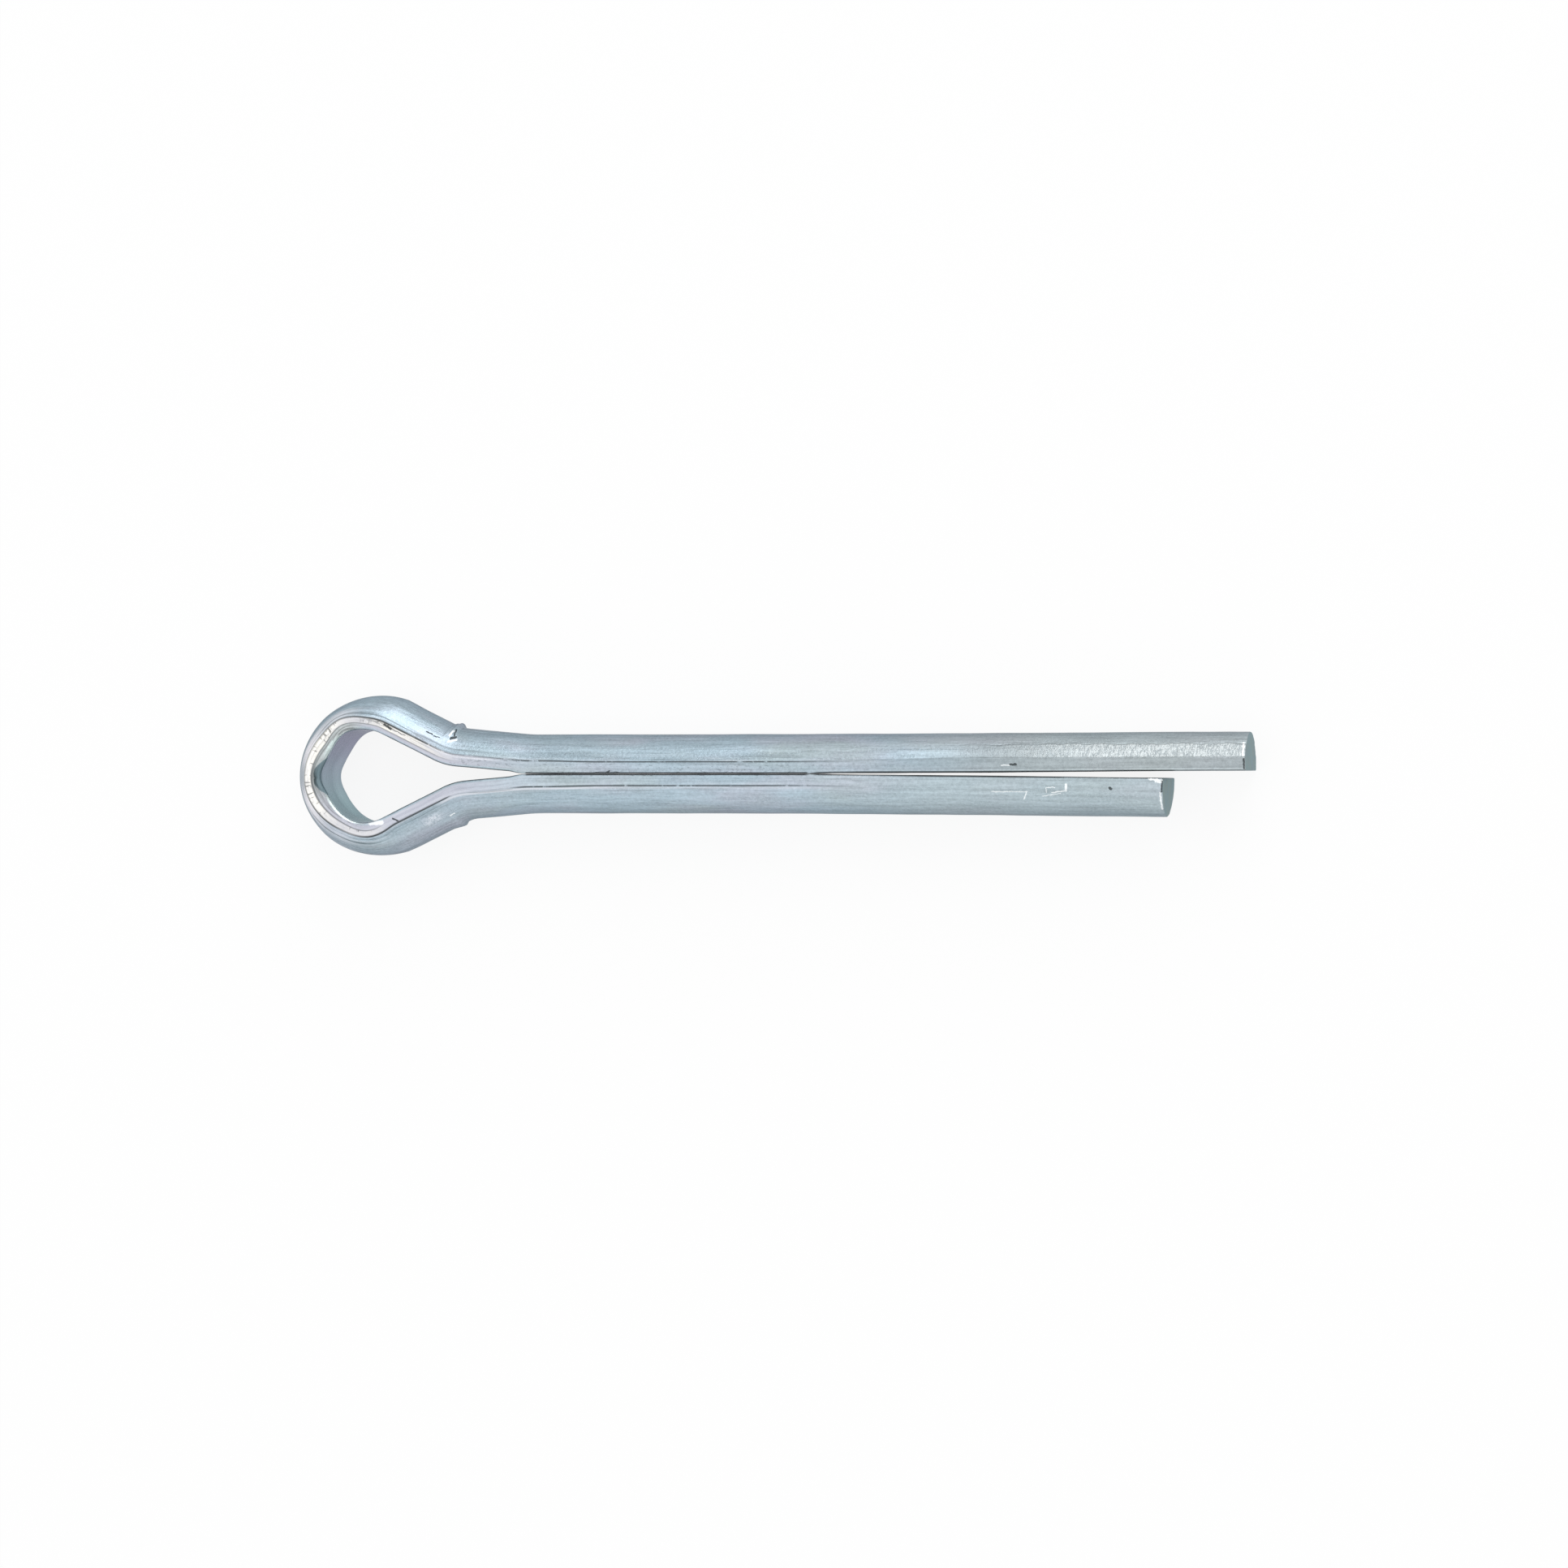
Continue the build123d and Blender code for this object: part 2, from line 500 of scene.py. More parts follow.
# %% Press the arms' backs, and raise a lip at each neck
COLLAR_SETBACK = 0.12
on_back = ramp(height / thickness, 0.55, 0.85)
into_upper_arm = along - given["Upper Neck"] + COLLAR_SETBACK
collar_rise = ramp(into_upper_arm, -0.52, -0.16, soft=False)
collar_fall = ramp(into_upper_arm, -0.16, 0.22, 1.0, 0.3, soft=False)
collar_step = ramp(into_upper_arm, 0.19, 0.26, 1.0, 0.0)
collar = collar_rise * collar_fall * collar_step
into_lower_arm = given["Lower Neck"] - along
tooth = between(into_lower_arm, 0.1, 0.2, 0.2, 0.9)
upper_press = between(into_upper_arm, 0.16, 0.4, 1.5, 2.8)
lower_press = hump(from_crown, 3.4, 1.6) * 2
eye_press = hump(from_crown, -2.9, 1.3)
on_top = ramp(height / thickness, 0.8, 0.93)
lips = on_back * (
    collar * given["Upper Lip Height"]
    - (eye_press + upper_press + lower_press) * given["Pressed Depth"]
) + on_top * tooth * given["Lower Lip Height"]

# %% Bring the legs together, and flatten a facet on the longer leg's back
HALF_CLOSED_GAP = 0.002
way_to_middle = maths("MAXIMUM", abs(line_y) - HALF_CLOSED_GAP, 0.0)
still_close = (past_neck - closed) * ramp(line_x, 19.0, 29.0, 1.0, 0.0)
flat_move = closed * maths("MINIMUM", way_to_middle, given["Most Closing"])
flat_move = flat_move + still_close * given["Part Closing"] + flattening
past_corner_line = maths("MAXIMUM", from_back_corner, 0.0)
sagitta = past_corner_line * (given["Facet Width"] - past_corner_line) / (back_radius * 2)
facet = maths("MAXIMUM", sagitta, 0.0) * ramp(
    along, given["Facet Start"], given["Facet Start"] - given["Facet Run"], 0.0, 1.0
)
below_back = ramp(height, 0.0, side_band, 1.0, 0.0, soft=False)
height_out = height - rim + lips - flat_move * below_back - facet

# %% Turn row and column into a place in space
MIDDLE_HEIGHT = 0.75
END_REACH = 3.0
shrink = (1 - face_share) * (1 - end_inset)
across_end = across * near_side * shrink
height_end = MIDDLE_HEIGHT + (height_out - MIDDLE_HEIGHT) * shrink
slant = maths("TANGENT", given["Short End Slant"] * (math.pi / 180))
at_short_end = ramp(along, given["Wire Length"] - END_REACH, given["Wire Length"])
at_long_end = ramp(along, 0.0, END_REACH, 1.0, 0.0)
skew = maths("TANGENT", given["End Skew"] * (math.pi / 180))
skew_shift = skew * (
    at_short_end * (half_width + across_end) + at_long_end * (half_width - across_end)
)
slant_shift = height_end * slant * at_short_end - skew_shift
place = vectors(
    "ADD",
    vectors("ADD", on_line, scaled(way, end_shift - slant_shift)),
    vectors("ADD", scaled(outward, height_end), vector_of(shape, 0.0, 0.0, across_end)),
)

# %% Keep each point's place on the wire, for the finish, and set the points
CLOSING_DISTANCE = 0.001
wire_place = vector_of(shape, along, across_end, height_end)
marked = add_node(shape, "GeometryNodeStoreNamedAttribute", {
    "Geometry": grid, "Name": "wire_place", "Value": wire_place,
}, data_type="FLOAT_VECTOR", domain="POINT")
marked = add_node(shape, "GeometryNodeStoreNamedAttribute", {
    "Geometry": marked, "Name": "section_share",
    "Value": vector_of(shape, corner_turn / (math.pi / 2), side_share, back_share),
}, data_type="FLOAT_VECTOR", domain="POINT")
for name, value in {
    "end_face": over_end, "from_back_corner": from_back_corner,
    "closed": ramp(closed, 0.97, 1.0),
}.items():
    marked = add_node(shape, "GeometryNodeStoreNamedAttribute", {
        "Geometry": marked, "Name": name, "Value": value,
    }, data_type="FLOAT", domain="POINT")
swept = add_node(shape, "GeometryNodeSetPosition", {"Geometry": marked, "Position": place})
sealed = add_node(
    shape, "GeometryNodeMergeByDistance", {"Geometry": swept, "Distance": CLOSING_DISTANCE}
)

# %% [markdown]
# ## Unevenness that catches the light
# Drawn wire is never quite even, and the plating follows every hollow. A faint ripple runs along
# the whole wire. Near the longer leg's tip a band of the round back is crumpled like foil, where
# the wire was straightened. Both are real hollows in the mesh, always inwards, so the pin keeps
# its size.

# %% Press the ripple and the crumpled band into the surface
kept_place = add_node(
    shape, "GeometryNodeInputNamedAttribute", {"Name": "wire_place"}, data_type="FLOAT_VECTOR"
)
seed_shift = vector_of(shape, given["Seed"] * 13.0, 0.0, 0.0)
wire_spot = vectors("ADD", kept_place, seed_shift)
spot_along, _, spot_height = parts_of(kept_place)
ripple = ramp(noise(scaled(wire_spot, (0.3, 1.3, 1.3))), 0.3, 0.7) * given["Ripple Depth"]
ragged = noise(scaled(wire_spot, (1.1, 0.5, 0.5)), detail=3.0)
crumple_band = (
    ramp(spot_height, 0.6, 0.68) * ramp(spot_height + ragged * 0.4, 1.4, 1.5, 1.0, 0.0)
    * ramp(spot_along, 8.5, 13.5, 1.0, 0.0)
)
crumple = noise(scaled(wire_spot, (3.4, 2.2, 2.2)), detail=1.0, distortion=0.8)
crumple = ramp(crumple, 0.35, 0.65) * crumple_band * given["Crumple Depth"]
outward_normal = add_node(shape, "GeometryNodeInputNormal")
pressed = add_node(shape, "GeometryNodeSetPosition", {
    "Geometry": sealed, "Offset": scaled(outward_normal, (ripple + crumple) * -1.0),
})

# %% Finish the tree in metres, with a material for the wire and one for its sheared ends
END_FACE_FROM = 0.25
in_metres = add_node(
    shape, "GeometryNodeTransform", {"Geometry": pressed, "Scale": (0.001, 0.001, 0.001)}
)
smooth = add_node(shape, "GeometryNodeSetShadeSmooth", {"Geometry": in_metres})
realized = add_node(shape, "GeometryNodeRealizeInstances", {"Geometry": smooth})
plated = add_node(
    shape, "GeometryNodeSetMaterial", {"Geometry": realized, "Material": given["Plating"]}
)
end_face = add_node(
    shape, "GeometryNodeInputNamedAttribute", {"Name": "end_face"}, data_type="FLOAT"
)
finished = add_node(shape, "GeometryNodeSetMaterial", {
    "Geometry": plated, "Material": given["End Plating"],
    "Selection": maths("GREATER_THAN", end_face, END_FACE_FROM),
})
feed(shape_out.inputs["Wire"], finished)
print("half_round_wire tree:", len(shape.nodes), "nodes")

# %% [markdown]
# ## Bright zinc
# Zinc plating with a clear blue passivation is a metal with a cool grey colour. It isn't polished:
# its shine is soft, broken by fine drawing lines along the wire. Tints wander between blue, lilac
# and a greenish grey. The patterns read attributes that the tree has stored: wire_place says how
# far along the wire, how far across and how high above the flat a point is, and from_back_corner
# how far it is from the line where the side meets the round back. So they follow the wire round
# the eye. along, across, height and from_crown mean the same as in the first tree, but are read
# back here.

# %% A node group for the drawing lines
lines_tree, given, lines_out = start_tree(
    "drawing_lines", "ShaderNodeTree",
    {"Place": (0.0, 0.0, 0.0), "Line Length": 3.0, "Lines per mm": 6.0},
    {"Lines": "NodeSocketFloat"},
)
x, y, z = parts_of(given["Place"])
stretched = vector_of(
    lines_tree, x / given["Line Length"], y * given["Lines per mm"], z * given["Lines per mm"]
)
line_noise = noise(stretched, detail=3.0, roughness=0.75)
feed(lines_out.inputs["Lines"], ramp(line_noise, 0.32, 0.68, soft=False))

# %% A node group for the wandering tints, which both materials use
tint_tree, given, tint_out = start_tree(
    "plating_tint", "ShaderNodeTree",
    {"Place": (0.0, 0.0, 0.0), "Blue": "NodeSocketColor", "Lilac": "NodeSocketColor",
     "Green Grey": "NodeSocketColor", "Patch Size": 2.0},
    {"Color": "NodeSocketColor"},
)


def blend_colours(amount, low, high):
    """A Mix node for colours. Its sockets go by number, because other kinds share their names."""
    inputs = {0: amount, 6: low, 7: high}
    return add_node(amount.socket.id_data, "ShaderNodeMix", inputs, 2, data_type="RGBA")


ALONG_THE_WIRE = (0.35, 1.0, 1.0)
SOMEWHERE_ELSE = (31.0, 17.0, 5.0)
patch_place = scaled(given["Place"], 1 / given["Patch Size"])
lilac_share = ramp(noise(scaled(patch_place, ALONG_THE_WIRE), detail=3.0), 0.4, 0.7)
moved = vectors("ADD", patch_place, SOMEWHERE_ELSE)
green_share = ramp(noise(scaled(moved, ALONG_THE_WIRE), detail=3.0), 0.45, 0.75)
tinted = blend_colours(lilac_share, given["Blue"], given["Lilac"])
tinted = blend_colours(green_share, tinted, given["Green Grey"])
feed(tint_out.inputs["Color"], tinted)

# %% A node group for one short mark: a scratch, a pit, a bright nick or a painted highlight
mark_tree, given, mark_out = start_tree(
    "short_mark", "ShaderNodeTree",
    {"Place": (0.0, 0.0, 0.0), "From": (0.0, 0.0, 0.0), "To": (1.0, 0.0, 0.0), "Width": 0.05},
    {"Mark": "NodeSocketFloat"},
)
reach = vectors("SUBTRACT", given["To"], given["From"])
offset = vectors("SUBTRACT", given["Place"], given["From"])
share = vectors("DOT_PRODUCT", offset, reach, result="Value") / vectors(
    "DOT_PRODUCT", reach, reach, result="Value"
)
share = ramp(share, 0.0, 1.0, soft=False)
aside = vectors("LENGTH", vectors("SUBTRACT", offset, scaled(reach, share)), result="Value")
feed(mark_out.inputs["Mark"], ramp(aside / given["Width"], 0.5, 1.0, 1.0, 0.0))


# %% Start a plated metal: what the wire and its sheared ends have in common
def plain(red, green, blue):
    """An opaque colour."""
    return (red, green, blue, 1.0)


def use_group(tree, group, inputs, result=0):
    return add_node(tree, "ShaderNodeGroup", inputs, result, node_tree=group)


def read_attribute(tree, name, result="Vector"):
    return add_node(tree, "ShaderNodeAttribute", attribute_name=name, result=result)


def start_metal(name):
    """A metallic material, its Principled BSDF, and the place on the wire in millimetres."""
    material = bpy.data.materials.new(name)
    material.use_nodes = True
    tree = material.node_tree
    shader = tree.nodes["Principled BSDF"]
    shader.inputs["Metallic"].default_value = 1.0
    shader.inputs["Specular Tint"].default_value = plain(0.5, 0.53, 0.56)
    return material, tree, shader, read_attribute(tree, "wire_place")


# %% Begin the wire's material with its tints, its drawing lines and a fine grain
BLUE_ZINC = plain(0.34, 0.43, 0.49)
LILAC_ZINC = plain(0.385, 0.42, 0.485)
GREEN_ZINC = plain(0.34, 0.41, 0.43)
LONG_TIP_ZINC = plain(0.40, 0.445, 0.455)
SHORT_LEG_ZINC = plain(0.36, 0.42, 0.44)

bright_zinc, tree, shader, place = start_metal("bright_zinc")
along, across, height = parts_of(place)
from_corner = read_attribute(tree, "from_back_corner", "Fac")
closed = read_attribute(tree, "closed", "Fac")
tint = use_group(tree, tint_tree, {
    "Place": place, "Blue": BLUE_ZINC, "Lilac": LILAC_ZINC, "Green Grey": GREEN_ZINC,
})
lines = use_group(tree, lines_tree, {"Place": place})
grain = noise(place, scale=8.0, detail=3.0, roughness=0.8)
colour = blend_colours(ramp(along, 17.0, 9.0, 0.0, 0.75), tint, LONG_TIP_ZINC)
colour = blend_colours(ramp(along, 68.0, 76.0, 0.0, 0.6), colour, SHORT_LEG_ZINC)
colour = scaled(colour, 0.48 + lines * 0.3 + grain * 0.74)

# %% [markdown]
# ## Seams along the back's corners
# When the round wire was rolled to a half round, its corners folded over a little. The folds show
# as thin broken dark lines beside the sides, whole round the eye, fainter at the necks, and gone
# before the leg ends. They are made by stretching a noise far along the wire, so that its cells
# become lines, and keeping its lows.

# %% The seam: a dark line on the back's corner
SEAM_FROM, SEAM_TO = 18.0, SHORT_LEG_ORIGIN + 15.0
SEAM_REACH, EYE_SEAM_REACH = 0.055, 0.025
seam_here = between(along, SEAM_FROM - 1.5, SEAM_FROM + 4, SEAM_TO - 5, SEAM_TO + 1)
from_crown = along - CROWN
in_eye = ramp(abs(from_crown), 5.0, 8.0, 1.0, 0.0)
broken = ramp(noise(scaled(place, (1.3, 0.4, 0.4)), detail=4.0, roughness=0.7), 0.34, 0.46)
at_upper_neck = between(
    along, UPPER_NECK - 4.4, UPPER_NECK - 2.6, UPPER_NECK - 0.2, UPPER_NECK + 0.8
)
at_lower_neck = between(
    along, LOWER_NECK - 0.1, LOWER_NECK + 0.4, LOWER_NECK + 3.0, LOWER_NECK + 4.0
)
fainter = hump(from_crown, -0.8, 3.6) * 0.6 + hump(from_crown, 2.8, 0.9) * 0.5
whole = strongest(broken, in_eye) * (1 - strongest(at_upper_neck * 0.5, at_lower_neck))
whole = whole * (1 - fainter)
seam = hump(from_corner, 0.0, SEAM_REACH + in_eye * EYE_SEAM_REACH) * whole * seam_here

# %% Finer folds beside the seam, dark and pale
fold_place = vector_of(tree, along * 0.2, from_corner * 7.0, maths("SIGN", across) * 3.0)
fold_noise = noise(fold_place, detail=3.0, roughness=0.6)
fold_zone = strongest(
    hump(from_corner, 0.08, 0.4) * seam_here * ramp(in_eye, 0.0, 1.0, 0.5, 1.0),
    hump(from_corner, 0.5, 0.9) * between(from_crown, 0.6, 1.6, 3.0, 4.6),
)
folds = ramp(fold_noise, 0.38, 0.45, 1.0, 0.0) * fold_zone
pale_folds = ramp(fold_noise, 0.54, 0.64) * fold_zone
dark_lines = strongest(seam, folds * 0.6)

# %% Single lines: painted shade where the upper neck's highlight ends, a pale edge at each neck (a painted highlight at the lower one), one along the flat's edge
# painted shade: a grey line at the edge of the upper neck's highlight
neck_shade_line = hump(from_corner, 0.24, 0.09) * between(
    along, UPPER_NECK - 4.0, UPPER_NECK - 1.5, UPPER_NECK + 0.6, UPPER_NECK + 1.6
)
# painted highlight: a pale line on the corner ridge of the lower neck and the short leg
lower_edge_highlight = (
    hump(from_corner, 0.09, 0.1)
    * between(along, LOWER_NECK - 0.8, LOWER_NECK, SEAM_TO - 4, SEAM_TO)
    * ramp(along, SHORT_LEG_ORIGIN + 1.5, SHORT_LEG_ORIGIN + 4.5, 1.0, 0.4)
)
upper_pale_edge = hump(from_corner, -0.09, 0.08) * between(
    along, UPPER_NECK - 3.6, UPPER_NECK - 2.0, UPPER_NECK + 0.3, UPPER_NECK + 1.0
)
pale_edge_and_highlight = lower_edge_highlight + upper_pale_edge
flat_edge_line = hump(height, 0.16, 0.035) * ramp(abs(from_crown), 9.0, 12.0)

# %% Where the legs and the bow's lower half are a little lighter or darker
PALE_BOW_ZINC = plain(0.66, 0.64, 0.72)
lower_bow = ramp(from_corner, 0.0, 0.1) * between(from_crown, 0.9, 1.5, 2.4, 3.4)
beside_seam = hump(from_corner, 0.3, 0.35) * between(along, 14.0, 17.0, 33.0, 36.0)
below_seam = hump(from_corner, 0.18, 0.25) * ramp(along, SHORT_LEG_ORIGIN, SHORT_LEG_ORIGIN + 3)
colour = scaled(colour, 1 + lower_bow * 0.2 - beside_seam * 0.12 + below_seam * 0.2)
colour = blend_colours(lower_bow * lines * 0.6, colour, PALE_BOW_ZINC)

# %% [markdown]
# ## The stretched band round the crown
# Round the crown the side of the wire is stretched, and its plating turns a dull cream, crossed by
# fine cracks. The inner rim stays green-grey, and the eye's inner wall is tinted purple-grey on
# its upper side and teal on its lower. Behind the bow the rim's hollow carries a painted shadow,
# and the rim's lip a painted highlight.

# %% Lilac sides at the necks, with dark specks on the longer leg's side
DARK_SIDE_ZINC = plain(0.40, 0.40, 0.47)
LIGHT_SIDE_ZINC = plain(0.54, 0.54, 0.60)
corner_share, side_share, back_share = parts_of(read_attribute(tree, "section_share"))
off_back = ramp(back_share, 0.0, 0.02, 1.0, 0.0)
on_side = ramp(side_share, 0.0, 0.15) * off_back
# painted shade: the side is up to a fifth darker towards the longer leg's tip
colour = scaled(colour, 1 - on_side * ramp(along, 20.0, 12.0) * 0.2)
side_tint = blend_colours(lines, DARK_SIDE_ZINC, LIGHT_SIDE_ZINC)
side_here = ramp(abs(from_crown), 7.0, 14.0, 0.8, 0.0)
colour = blend_colours(on_side * side_here, colour, side_tint)
speckle = ramp(noise(scaled(place, (5.0, 11.0, 11.0)), detail=2.0, roughness=0.7), 0.56, 0.66)
speckle = speckle * on_side * between(along, 12.0, 22.0, 36.0, 38.0)

# %% The cream band
BAND_DEPTH = -0.29
CREAM_ZINC = plain(0.92, 0.90, 0.85)
cream_here = (
    ramp(from_corner, BAND_DEPTH - 0.03, BAND_DEPTH + 0.02) * off_back
    * between(from_crown, -8.6, -5.6, 3.6, 4.5)
)
cream_noise = noise(scaled(place, (2.5, 7.0, 7.0)), detail=4.0, roughness=0.65)
cream_patches = ramp(cream_noise, 0.36, 0.56, 0.65, 1.0)
cream_strength = cream_here * cream_patches * (
    1 - hump(from_crown, -3.1, 1.5) * 0.65 - ramp(from_crown, 0.7, 2.6) * 0.6
    - ramp(from_crown, -4.4, -5.2) * 0.2
)
colour = blend_colours(cream_strength, colour, CREAM_ZINC)

# %% Smudges, cracks and an edge line on the band, and outside it a lilac strip whose near-white brightness is a painted sheen
LILAC_SHEEN_ZINC = plain(0.98, 0.96, 1.0)
smudge_noise = noise(scaled(place, (4.0, 9.0, 9.0)), detail=3.0, roughness=0.7)
smudge_zone = hump(from_corner, -0.06, 0.22) * hump(from_crown, -4.05, 1.0)
smudges = ramp(smudge_noise, 0.42, 0.55) * smudge_zone
crack_place = scaled(place, (13.0, 2.0, 2.0))
crack_clusters = ramp(noise(scaled(place, (0.9, 0.5, 0.5)), detail=1.0), 0.42, 0.6, -0.06, 0.07)
crack_noise = noise(crack_place, detail=2.0, roughness=0.7) - crack_clusters
crack_zone = cream_here * ramp(abs(from_crown), 3.0, 4.5, 1.0, 0.0)
cracks = ramp(crack_noise, 0.33, 0.37, 1.0, 0.0) * crack_zone
band_line = hump(from_corner, BAND_DEPTH, 0.045) * between(from_crown, -9.0, -6.0, 3.6, 4.5)
sheen_stretch = (
    hump(from_crown, -0.9, 1.3) + hump(from_crown, 0.95, 1.3) + hump(from_crown, -2.3, 1.2) * 0.5
)
# painted sheen: beside the seam the back is lilac pushed almost to white
lilac_sheen = between(from_corner, 0.02, 0.07, 0.42, 0.8) * sheen_stretch
colour = blend_colours(maths("MINIMUM", lilac_sheen, 1.0), colour, LILAC_SHEEN_ZINC)

# %% The eye's inner wall and its rim
UPPER_WALL_ZINC, LOWER_WALL_ZINC = plain(0.40, 0.39, 0.50), plain(0.37, 0.50, 0.53)
UPPER_RIM_ZINC, LOWER_RIM_ZINC = plain(0.385, 0.415, 0.42), plain(0.39, 0.40, 0.45)
wall_tint = blend_colours(ramp(from_crown, -2.5, 1.8), UPPER_WALL_ZINC, LOWER_WALL_ZINC)
on_wall = ramp(corner_share, 0.0, 0.3, 1.0, 0.0) * ramp(abs(from_crown), 4.0, 4.6, 1.0, 0.0)
colour = blend_colours(on_wall, colour, wall_tint)
rim_place = vector_of(tree, along * 0.3, from_corner * 10.0, 0.0)
rim_lines = noise(rim_place, detail=2.0, roughness=0.6)
rim_tint = blend_colours(ramp(from_crown, 0.0, 2.0), UPPER_RIM_ZINC, LOWER_RIM_ZINC)
rim_tint = scaled(rim_tint, ramp(rim_lines, 0.38, 0.56, 0.6, 1.15) * (0.7 + grain * 0.6))
rim_tint = scaled(rim_tint, 1 - hump(from_crown, 0.15, 1.2) * 0.35)
rim_here = ramp(corner_share, 0.1, 0.5) * ramp(abs(from_crown), 2.6, 3.8, 1.0, 0.0)
rim_here = rim_here * ramp(from_corner, BAND_DEPTH - 0.02, BAND_DEPTH + 0.02, 1.0, 0.0)
colour = blend_colours(rim_here, colour, rim_tint)

# %% A painted highlight on the rim's lip
LIP_HIGHLIGHT_ZINC = plain(0.64, 0.76, 0.75)
# The lip follows the rim's own height, so it uses the sizes of the first tree
rim_height = wire_sizes["Rim Height"]
rim_dip = rim_height * wire_sizes["Rim Dip"]
lip_line = hump(from_crown, *RIM_STRETCH) * -rim_height + hump(from_crown, *DIP_STRETCH) * rim_dip
on_lip = ramp(across, 1.46, 1.54) * ramp(height - lip_line, 0.11, 0.05)
# painted highlight along the lip's rounded top
lip_highlight = hump(from_crown, 2.2, 1.7) * 1.5 + hump(from_crown, -1.6, 1.1) * 0.8
lip_highlight = on_lip * maths("MINIMUM", lip_highlight, 0.95) * ramp(grain, 0.36, 0.5, 0.6, 1.0)
colour = blend_colours(lip_highlight, colour, LIP_HIGHLIGHT_ZINC)

# %% A painted shadow in the dark hollow of the rim, behind the bow
SHADOW_TEAL_ZINC, DEEPEST_SHADOW_ZINC = plain(0.17, 0.24, 0.27), plain(0.02, 0.04, 0.045)
streaks = noise(scaled(place, (1.5, 9.0, 9.0)), detail=3.0, roughness=0.7)
shadow_top = strongest(hump(from_crown, 0.25, 1.0), hump(from_crown, -0.1, 1.15)) * 0.5
shadow_top = shadow_top - 0.3 + (streaks - 0.5) * 0.2
in_shadow = ramp(across, 1.05, 1.2) * ramp(shadow_top - height, 0.0, 0.04)
in_shadow = in_shadow * ramp(streaks, 0.3, 0.6, 1.0, 0.85)
deepest_shadow = hump(from_crown, 0.1, 0.85) * ramp(shadow_top - height, 0.06, 0.2, 1.0, 0.0)
shadow_tint = blend_colours(deepest_shadow, SHADOW_TEAL_ZINC, DEEPEST_SHADOW_ZINC)
# painted shadow: teal, with a near-black core next to the crown
colour = blend_colours(in_shadow, colour, shadow_tint)

# %% Painted shade on the flat's edges, and near-black painted shade on the flats that meet in the gap
GAP_SHADE_ZINC = plain(0.03, 0.035, 0.04)
on_flat_edge = between(corner_share, 0.0, 0.3, 0.6, 1.0)
# painted shade: outside the eye the flat's edges are half as bright
colour = scaled(colour, 1 - on_flat_edge * ramp(abs(from_crown), 4.0, 5.0) * 0.5)
# painted shade: where the legs meet, their flats are nearly black
gap_shade = ramp(height, 0.03, 0.0) * closed
colour = blend_colours(gap_shade, colour, GAP_SHADE_ZINC)

# %% [markdown]
# ## Marks of handling, and a few painted highlights
# Loose pins rattle against each other in the plating barrel and the box. A few scratches and pits
# are placed on the side that the photograph shows, with one row here for each. They read
# Object coordinates, so that a row gives a place on the finished pin.
# Some rows of the pale list are painted highlights on lit dents and facets.

# %% Scratches, pits and painted highlights: from, to and width in millimetres, on the upper side
PALE_SCRATCHES_AND_HIGHLIGHTS = [
    ((21.14, -0.80), (22.76, -0.80), 0.022),
    ((22.72, -0.82), (22.58, -1.13), 0.03),
    ((23.65, -0.62), (24.01, -0.62), 0.022),
    ((23.61, -0.64), (23.63, -0.82), 0.022),
    ((23.87, -0.84), (24.53, -0.75), 0.03),
    ((24.52, -0.48), (24.52, -0.75), 0.07),
    ((23.42, -1.00), (24.27, -0.87), 0.02),
    ((21.58, 0.37), (21.95, 0.37), 0.03),
    # painted highlights: a dent on the lower arm, and a lit facet where the lower arm leaves the
    # eye
    ((-4.16, -1.90), (-3.94, -1.78), 0.03),
    ((-7.80, -2.24), (-7.25, -2.22), 0.13),
    ((-4.15, 1.47), (-3.82, 1.55), 0.055),
    # painted highlight: a lit facet at the upper arm's lip
    ((-4.17, 1.77), (-4.04, 1.96), 0.06),
    # painted highlights: the next two rows, on the short leg's top by its end
    ((28.27, -0.24), (28.86, -0.30), 0.06),
    ((28.58, -0.33), (28.78, -0.38), 0.07),
    ((28.76, -0.86), (28.76, -1.55), 0.05),
    ((32.44, 1.36), (32.46, 0.80), 0.05),
]
DARK_PITS = [
    ((26.51, -0.63), (26.53, -0.68), 0.08),
    ((21.99, 0.41), (22.25, 0.41), 0.05),
    ((-5.19, 1.92), (-4.93, 1.79), 0.035),
    ((-4.86, 1.73), (-4.60, 1.65), 0.022),
    ((-4.07, 1.62), (-3.90, 1.67), 0.075),
    ((-3.96, 2.03), (-3.97, 1.74), 0.03),
    ((-7.14, 2.26), (-6.83, 2.05), 0.07),
    ((-6.76, 2.02), (-6.14, 1.74), 0.018),
    ((-6.74, -2.03), (-6.47, -2.15), 0.035),
    ((28.86, -0.28), (28.84, -0.80), 0.05),
    ((32.52, 0.66), (32.53, 0.22), 0.04),
    # the last two rows are dark marks on the line where the legs meet
    ((2.85, 0.03), (3.95, 0.03), 0.05),
    ((3.35, 0.05), (3.50, 0.13), 0.04),
]

# %% Draw the marks, with slightly rough edges
upper_side = ramp(across, 0.2, 0.5)
object_place = add_node(tree, "ShaderNodeTexCoord", result="Object")
flat_place = vectors("MULTIPLY", object_place, (1000.0, 1000.0, 0.0))
rough_edge = add_node(tree, "ShaderNodeTexNoise", {"Vector": flat_place, "Scale": 9.0}, "Color")
wobble = scaled(vectors("SUBTRACT", rough_edge, (0.5, 0.5, 0.5)), (0.1, 0.1, 0.0))
mark_place = vectors("ADD", flat_place, wobble)


